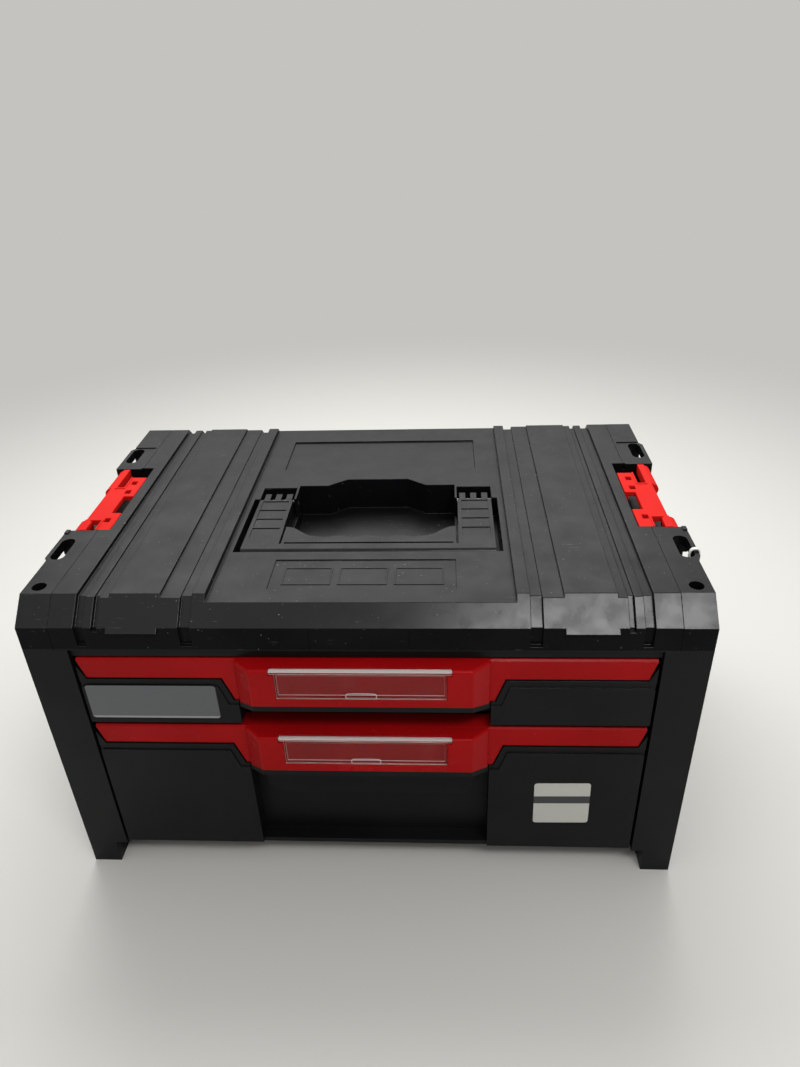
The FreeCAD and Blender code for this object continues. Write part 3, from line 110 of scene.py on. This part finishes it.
def moulded(name, tones, roughness, grain, polished_from=None, **sockets):
    """A moulded plastic. Its colour drifts between two tones, a grain breaks up the
    surface, and handling has rubbed it here and there. grain is a size and a depth in mm.
    With polished_from, a height in mm, sloping faces are rubbed smooth and take a painted
    sheen, a specular level up to twice the rest; from there up all but the flat tops is smooth,
    fine pale scratches and dust show, and upright faces take a painted shade, a specular
    level cut to 0.3."""
    drift_size, rub_size, smear_size, scratch_patch_size, speck_size = 70, 24, 12, 15, 1.5
    grain_size, grain_depth = grain
    material = bpy.data.materials.new(name)
    material.use_nodes = True
    material.diffuse_color = linear(tones[0])
    tree = material.node_tree
    shader = tree.nodes["Principled BSDF"]
    for socket, value in sockets.items():
        shader.inputs[socket.replace("_", " ")].default_value = value
    place = add_node(tree, "TexCoord", "Object")
    drift = add_node(tree, "TexNoise", Vector=place, Scale=1 / (drift_size * MM), Detail=3.0)
    drift = add_node(tree, "MapRange", settings=smooth, Value=drift, From_Min=0.35, From_Max=0.65)
    base = add_node(tree, "MixRGB", _0=drift, _1=linear(tones[0]), _2=linear(tones[1]))
    rub = add_node(
        tree, "TexNoise", Vector=place, Scale=1 / (rub_size * MM), Detail=6.0, Roughness=0.65,
    )
    rough = add_node(
        tree, "MapRange", Value=rub, From_Min=0.3, From_Max=0.7, To_Min=roughness[0],
        To_Max=roughness[1],
    )
    pattern = add_node(tree, "TexNoise", Vector=place, Scale=1 / (grain_size * MM), Detail=2.0)
    depth_share = 0.6
    if polished_from is not None:
        # Which way the surface faces and how high it lies decide where it is polished, and where
        # sheen and shade are painted.
        facing = add_node(tree, "SeparateXYZ", "Z", Vector=place.node.outputs["Normal"])
        height = add_node(tree, "SeparateXYZ", "Z", Vector=place)
        steep = add_node(
            tree, "MapRange", settings=smooth, Value=facing, From_Min=0.8, From_Max=0.95,
            To_Min=1.0, To_Max=0.0,
        )
        high = add_node(
            tree, "MapRange", settings=smooth, Value=height, From_Min=(polished_from - 1) * MM,
            From_Max=polished_from * MM,
        )
        slant = add_node(
            tree, "MapRange", settings=smooth, Value=facing, From_Min=0.3, From_Max=0.5,
        )
        handled_and_highlit = add_node(tree, "Math", settings=either, _0=high, _1=slant)
        polish_and_sheen_mask = add_node(tree, "Math", settings=times, _0=steep, _1=handled_and_highlit)
        # Painted sheen: sloping faces get up to twice the specular level, for the highlight that
        # the shoulder and the rounded edges catch. Painted shade: upright faces from the height
        # polished_from up keep 0.3 of it, for the shade under the shoulder.
        level = sockets["Specular_IOR_Level"]
        painted_sheen_level = add_node(
            tree, "MapRange", Value=add_node(tree, "Math", settings=times, _0=slant, _1=polish_and_sheen_mask),
            To_Min=level, To_Max=2 * level,
        )
        # Painted shade: upright faces high up keep only 0.3 of the specular level.
        upright = add_node(
            tree, "MapRange", Value=facing, From_Min=0.1, From_Max=0.3, To_Min=1.0, To_Max=0.0,
        )
        upright = add_node(tree, "Math", settings=times, _0=upright, _1=high)
        painted_shade_factor = add_node(tree, "MapRange", Value=upright, To_Min=1.0, To_Max=0.3)
        painted_sheen_level = add_node(tree, "Math", settings=times, _0=painted_sheen_level, _1=painted_shade_factor)
        tree.links.new(painted_sheen_level, shader.inputs["Specular IOR Level"])
        # Wiped smears vary the roughness where it is polished, and polishing flattens the grain.
        smear = add_node(
            tree, "TexNoise", Vector=place, Scale=1 / (smear_size * MM), Detail=3.0, Distortion=0.3,
        )
        smear = add_node(
            tree, "MapRange", Value=smear, From_Min=0.35, From_Max=0.7, To_Min=0.2, To_Max=0.3,
        )
        rough = add_node(tree, "MixRGB", _0=polish_and_sheen_mask, _1=rough, _2=smear)
        depth_share = add_node(tree, "MapRange", Value=polish_and_sheen_mask, To_Min=0.6, To_Max=0.04)
        # Scratches run one way, in patches. Specks of dust lie anywhere.
        turned = add_node(
            tree, "Mapping", Vector=place, Rotation=(0.2, 0.1, 0.9), Scale=(60, 1500, 900),
        )
        streak = add_node(tree, "TexNoise", Vector=turned, Scale=1.0, Detail=1.0)
        streak = add_node(
            tree, "MapRange", settings=smooth, Value=streak, From_Min=0.69, From_Max=0.74,
        )
        patch = add_node(
            tree, "TexNoise", Vector=place, Scale=1 / (scratch_patch_size * MM), Detail=2.0,
        )
        patch = add_node(
            tree, "MapRange", settings=smooth, Value=patch, From_Min=0.58, From_Max=0.66,
            To_Max=0.22,
        )
        scratch = add_node(tree, "Math", settings=times, _0=streak, _1=patch)
        speck = add_node(
            tree, "TexNoise", Vector=place, Scale=1 / (speck_size * MM), Detail=0.0,
        )
        speck = add_node(
            tree, "MapRange", settings=smooth, Value=speck, From_Min=0.84, From_Max=0.87,
            To_Max=0.4,
        )
        mark = add_node(tree, "Math", settings=either, _0=scratch, _1=speck)
        mark = add_node(tree, "Math", settings=times, _0=mark, _1=high)
        base = add_node(tree, "MixRGB", _0=mark, _1=base, _2=linear("#86888a"))
    tree.links.new(base, shader.inputs["Base Color"])
    tree.links.new(rough, shader.inputs["Roughness"])
    bump = add_node(
        tree, "Bump", Strength=depth_share, Distance=grain_depth * MM, Height=pattern,
    )
    tree.links.new(bump, shader.inputs["Normal"])
    return material


# Polypropylene from a spark-eroded tool: near-black with a satin haze on the flats, and a
# polished shoulder above 212 mm, with a painted sheen on its slopes and a painted shade on
# the upright faces under it. The grain is drawn at 0.5 mm to show at all.
charcoal_polypropylene = moulded(
    "charcoal_polypropylene_spark_grain", ("#0b0c0d", "#101112"), (0.38, 0.5), (0.5, 0.012),
    polished_from=212, IOR=1.49, Specular_IOR_Level=0.14,
)

# What counts as a corner and as a flat, how small a rounding may get before it is left out,
# and when a rounding has torn the mesh and is halved
sharp_angle = math.radians(28)
flat_angle = math.radians(0.4)
same_point = 0.004 * MM
least_rounding = 0.08 * MM
room_share = 0.4
torn_limit = 20 * MM * MM
most_halvings = 3


def room_beside(edge, face):
    """How wide an edge's rounding may be on one of its faces before it meets something."""
    start, end = (v.co for v in edge.verts)
    along = (end - start).normalized()
    room = edge.calc_length()
    for other in face.edges:
        if other is edge:
            continue
        if other.verts[0] in edge.verts or other.verts[1] in edge.verts:
            room = min(room, other.calc_length())
            continue
        for vert in other.verts:
            offset = vert.co - start
            if 0 < offset.dot(along) < (end - start).length:
                room = min(room, (offset - along * offset.dot(along)).length)
    return room


def torn_area(piece):
    """How much of the rounded mesh lies in faces that fold over themselves."""
    bpy.context.view_layer.update()
    evaluated = piece.evaluated_get(bpy.context.evaluated_depsgraph_get())
    solid = bmesh.new()
    solid.from_mesh(evaluated.to_mesh())
    covered = {}
    for loops in solid.calc_loop_triangles():
        a, b, c = (loop.vert.co for loop in loops)
        face = loops[0].face
        covered[face] = covered.get(face, 0) + (b - a).cross(c - a).length / 2
    torn = sum(abs(area - face.calc_area()) for face, area in covered.items())
    solid.free()
    evaluated.to_mesh_clear()
    return torn


def soften(name, width, materials, finish_of=None):
    """Stands for a moulded node: its own shape with every corner rounded, as far as the
    faces beside it leave room. Corners that have none stay crisp."""
    mesh = nodes[name].data.copy()
    mesh.materials.clear()
    for material in materials:
        mesh.materials.append(material)
    solid = bmesh.new()
    solid.from_mesh(mesh)
    bmesh.ops.remove_doubles(solid, verts=solid.verts, dist=same_point)
    bmesh.ops.dissolve_limit(solid, angle_limit=flat_angle, verts=solid.verts, edges=solid.edges)
    weights = solid.edges.layers.float.new("bevel_weight_edge")
    for face in solid.faces:
        face.smooth = True
        face.material_index = finish_of(face) if finish_of else 0
    for edge in solid.edges:
        if len(edge.link_faces) != 2 or edge.calc_face_angle(0) < sharp_angle:
            continue
        room = min(room_beside(edge, face) for face in edge.link_faces)
        share = min(1, room_share * room / width)
        if share * width < least_rounding:
            edge.smooth = False
        else:
            edge[weights] = share
    solid.to_mesh(mesh)
    solid.free()
    piece = bpy.data.objects.new(name + "_moulding", mesh)
    bpy.context.scene.collection.objects.link(piece)
    rounding = piece.modifiers.new("rounding", "BEVEL")
    rounding.limit_method = "WEIGHT"
    rounding.width = width
    rounding.segments = 2
    rounding.use_clamp_overlap = True
    rounding.miter_outer = "MITER_SHARP"
    while torn_area(piece) > torn_limit and rounding.width > width / 2 ** most_halvings:
        rounding.width /= 2
    shading = piece.modifiers.new("shading", "WEIGHTED_NORMAL")
    shading.keep_sharp = True
    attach(piece, nodes[name]["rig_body"])
    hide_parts(name)


for side in ("right", "left"):
    soften("side_panel_" + side, 0.6 * MM, [charcoal_polypropylene])

# Inner frames, drawer guides, base and back. They are plain black polypropylene with no
# texture in the tool, and carry the drawers between the side panels.


def dress(name, material):
    """A node whose shape is right keeps it and takes its own finish."""
    for holder in nodes[name].material_slots:
        holder.material = material


# The same resin, a shade darker, with a smoother and slightly greasy surface.
inner_polypropylene = moulded(
    "black_polypropylene_plain", ("#0a0b0c", "#0e0f10"), (0.44, 0.56), (0.8, 0.01), IOR=1.49,
    Specular_IOR_Level=0.14,
)
for name in ("base_plate", "back_panel"):
    dress(name, inner_polypropylene)
for side in ("right", "left"):
    for name in ("side_frame_", "guide_upper_", "guide_lower_"):
        dress(name + side, inner_polypropylene)

# The cover closes the case from above: one ribbed moulding with the finger well and the
# latch seats in it, in the same resin and grain as the side panels.
soften("top_cover", 0.5 * MM, [charcoal_polypropylene])

# The carry handle lies flush in the cover and swings up on two steel pins. It is the same
# resin, thicker, with a rounded grip.
soften("carry_handle", 0.6 * MM, [charcoal_polypropylene])

# Side latches: tough nylon, each moulded in one piece and turning on its own steel pin.
# A finely matted tool leaves it satin.

# Warm signal red, coloured through, more orange than the pulls' red, with no mirrored gloss.
# Part of its lightness is painted light, for the light that falls on the latches' tops.
red_nylon_painted_lighter = moulded(
    "red_nylon_satin", ("#bd1711", "#c61a13"), (0.56, 0.66), (0.9, 0.006), IOR=1.53,
    Specular_IOR_Level=0.05,
)
for name in ("latch_right", "latch_left"):
    soften(name, 0.6 * MM, [red_nylon_painted_lighter])

# Drawer pulls: hollow ABS mouldings that lie over the fronts, with a nose in the middle
# that the fingers pull from below. They are screwed on from inside.

# A deeper red, partly painted shade for the pulls' upright fronts, which take less light than
# the latches' tops. A polished tool leaves it glossy, with only a faint ripple.
red_abs_painted_darker = moulded(
    "red_abs_polished", ("#930a0d", "#9c0c0f"), (0.18, 0.3), (1.2, 0.004), IOR=1.53,
    Specular_IOR_Level=0.07,
)
for name in ("upper_pull", "lower_pull"):
    soften(name, 0.6 * MM, [red_abs_painted_darker])

# Drawer fronts and trays. The front is a hollow moulding with a raised panel each side of
# the finger space, and the open tray is screwed to it from inside.
for name in ("upper_front", "lower_front"):
    soften(name, 0.5 * MM, [charcoal_polypropylene])
for name in ("upper_tray", "lower_tray"):
    dress(name, inner_polypropylene)

# Label windows: clear polycarbonate flaps that snap into the pulls on two small pivots.


weak_refraction = 1.2


def clear_plastic(name, colour, roughness, clarity):
    """A clear or milky plastic. It bends light less than the real one, because the room
    that it mirrors is paler than the one in the photograph."""
    material = bpy.data.materials.new(name)
    material.use_nodes = True
    shader = material.node_tree.nodes["Principled BSDF"]
    shader.inputs["Base Color"].default_value = linear(colour)
    shader.inputs["Roughness"].default_value = roughness
    shader.inputs["IOR"].default_value = weak_refraction
    shader.inputs["Transmission Weight"].default_value = clarity
    return material


# Polished on both faces, so what is behind stays sharp. Its ends, upward faces and lower
# rim take a pale milky finish, a painted highlight for the light that they catch.
window_clear_and_highlight = [
    clear_plastic("clear_polycarbonate_polished", "#f4f4f2", 0.0, 1.0),
    clear_plastic("clear_polycarbonate_edge", "#f6f2f0", 0.3, 0.55),
]


def window_highlight_faces(face):
    """Painted highlight: pale milky ends and upward faces, and a pale lower rim. The rest is clear.
    """
    sideways, upwards, straight_down = 0.7, 0.3, -0.95
    end, rise = abs(face.normal.x), face.normal.z
    return 1 if end > sideways or rise > upwards or rise < straight_down else 0


for name in ("upper_label_window", "lower_label_window"):
    soften(name, 0.3 * MM, window_clear_and_highlight, window_highlight_faces)

# Two labels on the drawer fronts: a grey satin film on the upper one and a white paper
# one on the lower, both stuck on by hand, so the paper one is a little askew.


def printed(name, colour, roughness):
    """Label stock: a plain colour with faint mottling and a slight drag in the gloss."""
    drag = 0.05
    return moulded(
        name, (colour, colour), (roughness - drag, roughness + drag), (0.3, 0.003), IOR=1.5,
        Specular_IOR_Level=0.3,
    )


def label(name, body, middle, size, turn, bands):
    """A thin rounded sheet on a drawer's front. Each band is its lowest height, as a share
    of the label's, and its material, from the bottom up."""
    width, height = size
    corner, thickness, corner_steps = 2.2 * MM, 0.25 * MM, 6
    sheet = bmesh.new()
    ring = []
    for quarter, (sx, sz) in enumerate(((1, 1), (-1, 1), (-1, -1), (1, -1))):
        for step in range(corner_steps + 1):
            angle = math.radians(90 * (quarter + step / corner_steps))
            ring.append(sheet.verts.new((
                sx * (width / 2 - corner) + corner * math.cos(angle), 0,
                sz * (height / 2 - corner) + corner * math.sin(angle),
            )))
    rise = bmesh.ops.extrude_face_region(sheet, geom=[sheet.faces.new(ring)])["geom"]
    bmesh.ops.translate(
        sheet, vec=(0, -thickness, 0), verts=[v for v in rise if isinstance(v, bmesh.types.BMVert)],
    )
    for low, _ in bands[1:]:
        bmesh.ops.bisect_plane(
            sheet, geom=sheet.verts[:] + sheet.edges[:] + sheet.faces[:],
            plane_co=(0, 0, (low - 0.5) * height), plane_no=(0, 0, 1),
        )
    for face in sheet.faces:
        share = face.calc_center_median().z / height + 0.5
        face.material_index = max(i for i, (low, _) in enumerate(bands) if share >= low or i == 0)
    bmesh.ops.recalc_face_normals(sheet, faces=sheet.faces)
    mesh = bpy.data.meshes.new(name)
    sheet.transform(Matrix.Translation(middle) @ Matrix.Rotation(turn, 4, "Y"))
    sheet.to_mesh(mesh)
    sheet.free()
    for _, material in bands:
        mesh.materials.append(material)
    piece = bpy.data.objects.new(name, mesh)
    bpy.context.scene.collection.objects.link(piece)
    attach(piece, body)


# How far the raised panels of the fronts lie behind the pulls' noses
panel_setback = 10 * MM
panel_face = cad_low[1] + panel_setback

# Polyester film: a satin mid grey, and a pale line of bare film along its lower edge.
grey_film = printed("grey_polyester_film", "#595b5d", 0.4)
pale_edge = printed("pale_polyester_edge", "#8d8f90", 0.45)
label(
    "upper_front_label", nodes["upper_front"]["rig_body"],
    (-143.2 * MM, panel_face, 166.4 * MM), (89.0 * MM, 28.6 * MM), 0,
    [(0, pale_edge), (0.06, grey_film)],
)
# Coated paper: a soft white with a little gloss, and one plain printed band.
white_paper = printed("white_coated_paper", "#babab4", 0.35)
grey_ink = printed("grey_ink_on_paper", "#3c3d3e", 0.35)
label(
    "lower_front_label", nodes["lower_front"]["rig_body"],
    (137.0 * MM, panel_face, 72.0 * MM), (39.5 * MM, 40.5 * MM), math.radians(-1.0),
    [(0, white_paper), (0.5, grey_ink), (0.68, white_paper)],
)

# A loop of white nylon strap round the bar outside the right front strap slot, closed on
# itself under the bar.


def hoop(name, body, middle, half_size, squareness, section, material):
    """A closed ring in an upright plane. A squareness of 2 makes it an oval, and more
    brings it closer to a box. Its section is a list of steps outwards and along Y."""
    steps = 48
    ring = bmesh.new()
    rows = []
    for step in range(steps):
        angle = 2 * math.pi * step / steps
        c, s = math.cos(angle), math.sin(angle)
        bend = (abs(c) ** squareness + abs(s) ** squareness) ** (-1 / squareness)
        rows.append([ring.verts.new((
            middle[0] + (half_size[0] + outward) * bend * c,
            middle[1] + along,
            middle[2] + (half_size[1] + outward) * bend * s,
        )) for outward, along in section])
    for step, row in enumerate(rows):
        after = rows[(step + 1) % steps]
        for i in range(len(section)):
            j = (i + 1) % len(section)
            ring.faces.new((row[i], row[j], after[j], after[i]))
    bmesh.ops.recalc_face_normals(ring, faces=ring.faces)
    for face in ring.faces:
        face.smooth = True
    mesh = bpy.data.meshes.new(name)
    ring.to_mesh(mesh)
    ring.free()
    mesh.materials.append(material)
    piece = bpy.data.objects.new(name, mesh)
    bpy.context.scene.collection.objects.link(piece)
    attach(piece, body)
    return piece


# Nylon 66, as it comes from the tool: milky white with a soft gloss.
white_nylon = moulded(
    "white_nylon_natural", ("#c9c9c5", "#d2d2ce"), (0.3, 0.4), (0.6, 0.004), IOR=1.53,
)
strap_width, strap_thickness, strap_edge = 2.6 * MM, 0.9 * MM, 0.2 * MM
strap_corners = (
    (-1, -1, 0), (-1, 1, 0), (-1, 1, strap_edge), (1, 1, strap_edge), (1, 1, 0), (1, -1, 0),
    (1, -1, strap_edge), (-1, -1, strap_edge),
)
hoop(
    "nylon_strap_loop", nodes["side_panel_right"]["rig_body"],
    (222.9 * MM, -78.0 * MM, 239.3 * MM), (2.9 * MM, 5.2 * MM), 2.6, [
        (
            strap_thickness / 2 + outer * (strap_thickness / 2 - inset),
            end * (strap_width / 2 - strap_edge + inset),
        ) for outer, end, inset in strap_corners
    ], white_nylon,
)

# The raised rim of each window's lifting tab, moulded with it: a flat oval at the pane's
# lower edge. Its round bead is pale milky all round, a painted highlight for the light it catches.
bead_radius, bead_sides = 0.3 * MM, 8
bead = []
for side in range(bead_sides):
    angle = 2 * math.pi * side / bead_sides
    bead.append((bead_radius * math.cos(angle), bead_radius * math.sin(angle)))
tab_depth, tab_middle = 0.4 * MM, 2.4 * MM
for name in ("upper_label_window", "lower_label_window"):
    pane_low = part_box(name)[0][2]
    rim = hoop(
        name + "_tab_rim", nodes[name]["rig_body"],
        (0, cad_low[1] + tab_depth, pane_low + tab_middle), (10.0 * MM, 2.1 * MM), 5, bead,
        window_clear_and_highlight[1],
    )

# Screws and pins: cold-headed steel screws with a cross recess, and plain turned pins. The
# two in the front of the strips are black.

# Zinc plating, passivated to a cool grey that shows small mirrored highlights.
zinc_steel = moulded(
    "zinc_plated_steel", ("#8d8f91", "#a6a8aa"), (0.26, 0.38), (2.0, 0.004), Metallic=1.0,
)
# A near-black steel, with a dull metal gleam on its edges.
dark_steel = moulded(
    "black_oxide_steel", ("#2a2b2c", "#343536"), (0.28, 0.4), (2.0, 0.004), Metallic=1.0,
)
for name in nodes:
    if "screw" in name or "pin" in name:
        dress(name, dark_steel if name == "strip_screws" else zinc_steel)

# The floor: plain, pale and matt. Past the object it runs out into the backdrop's own tone.
backdrop_tone = linear("#c4c3bf")


def seen_directly(tree):
    """1 where the eye looks straight at something, in a mirror or through clear plastic."""
    ray = add_node(tree, "LightPath", "Is Camera Ray").node.outputs
    mirrored = add_node(
        tree, "Math", settings=either, _0=ray["Is Camera Ray"], _1=ray["Is Glossy Ray"],
    )
    return add_node(tree, "Math", settings=either, _0=mirrored, _1=ray["Is Transmission Ray"])


pale_card = bpy.data.materials.new("pale_card_matt")
pale_card.use_nodes = True
tree = pale_card.node_tree
shader = tree.nodes["Principled BSDF"]
shader.inputs["Base Color"].default_value = linear("#c6c5c1")
shader.inputs["Roughness"].default_value = 0.9
shader.inputs["Specular IOR Level"].default_value = 0.2
place = add_node(tree, "TexCoord", "Object")
reach = add_node(tree, "VectorMath", "Value", {"operation": "LENGTH"}, _0=place)
reach = add_node(tree, "MapRange", settings=smooth, Value=reach, From_Min=0.3, From_Max=1.3)
away = add_node(tree, "Math", settings=times, _0=reach, _1=seen_directly(tree))
glow = add_node(tree, "Emission", Color=backdrop_tone)
ending = add_node(tree, "MixShader", _0=away, _1=shader.outputs["BSDF"], _2=glow)
tree.links.new(ending, tree.nodes["Material Output"].inputs["Surface"])
floor_mesh = bpy.data.meshes.new("floor")
plan = bmesh.new()
floor_radius = 6
bmesh.ops.create_circle(plan, cap_ends=True, radius=floor_radius, segments=96)
plan.to_mesh(floor_mesh)
plan.free()
floor = bpy.data.objects.new("floor", floor_mesh)
bpy.context.scene.collection.objects.link(floor)
floor.location.z = cad_low[2]
floor_mesh.materials.append(pale_card)

# The room: an even, pale backdrop to look at, and soft light that falls a little more from
# behind than from the front.
world = bpy.data.worlds.new("studio")
bpy.context.scene.world = world
world.use_nodes = True
tree = world.node_tree
backdrop = tree.nodes["Background"]
backdrop.inputs["Color"].default_value = backdrop_tone
backdrop.inputs["Strength"].default_value = 1.0
depth = add_node(tree, "SeparateXYZ", "Y", Vector=add_node(tree, "TexCoord", "Generated"))
level = add_node(
    tree, "MapRange", settings=smooth, Value=depth, From_Min=-0.7, From_Max=0.5, To_Min=0.45,
    To_Max=0.95,
)
room = add_node(tree, "Background", Color=linear("#f2f2f0"), Strength=level)
lit = add_node(
    tree, "MixShader", _0=seen_directly(tree), _1=room, _2=backdrop.outputs["Background"],
)
tree.links.new(lit, tree.nodes["World Output"].inputs["Surface"])


def softbox(name, power, width, depth, place, aim):
    """A soft rectangular lamp that looks at a point. Sizes in metres, power in watts."""
    lamp = bpy.data.lights.new(name, "AREA")
    lamp.shape = "RECTANGLE"
    lamp.size = width
    lamp.size_y = depth
    lamp.energy = power
    holder = bpy.data.objects.new(name, lamp)
    bpy.context.scene.collection.objects.link(holder)
    holder.location = place
    holder.rotation_euler = (Vector(aim) - Vector(place)).to_track_quat("-Z", "Y").to_euler()


# A wide lamp behind lays the sheen on the top. A narrow one in front is what the right half
# of the shoulder mirrors, and a faint broad one fills the left half and the edges.
softbox("lamp_above", 27, 1.6, 1.0, (-0.12, 0.9, 1.3), (0, 0, 0.2))
softbox("lamp_right", 6.4, 0.64, 0.2, (0.39, -0.8, 1.23), (0.2, -0.1, 0.2))
softbox("lamp_front", 1.7, 1.8, 0.6, (-0.1, -0.85, 1.3), (0, -0.1, 0.2))

# The camera stands where the photograph was taken from: high, a little right of middle, and
# looking down. Its focal length is in pixels of the photograph's height.
focal_length, frame_height, film_height = 791.58, 1067, 36
eye = Vector((0.0552, -0.5395, 0.5317))
right = Vector((0.99833, 0.04651, -0.03432))
up = Vector((0.00578, 0.51037, 0.85993))
back = Vector((0.05751, -0.85869, 0.50925))
lens = bpy.data.cameras.new("camera")
lens.sensor_fit = "AUTO"
lens.sensor_width = film_height
lens.lens = film_height * focal_length / frame_height
camera = bpy.data.objects.new("camera", lens)
bpy.context.scene.collection.objects.link(camera)
turned = Matrix((right, up, back)).transposed()
camera.matrix_world = Matrix.Translation(eye) @ turned.to_4x4()
bpy.context.scene.camera = camera
bpy.context.scene.view_settings.view_transform = "Standard"
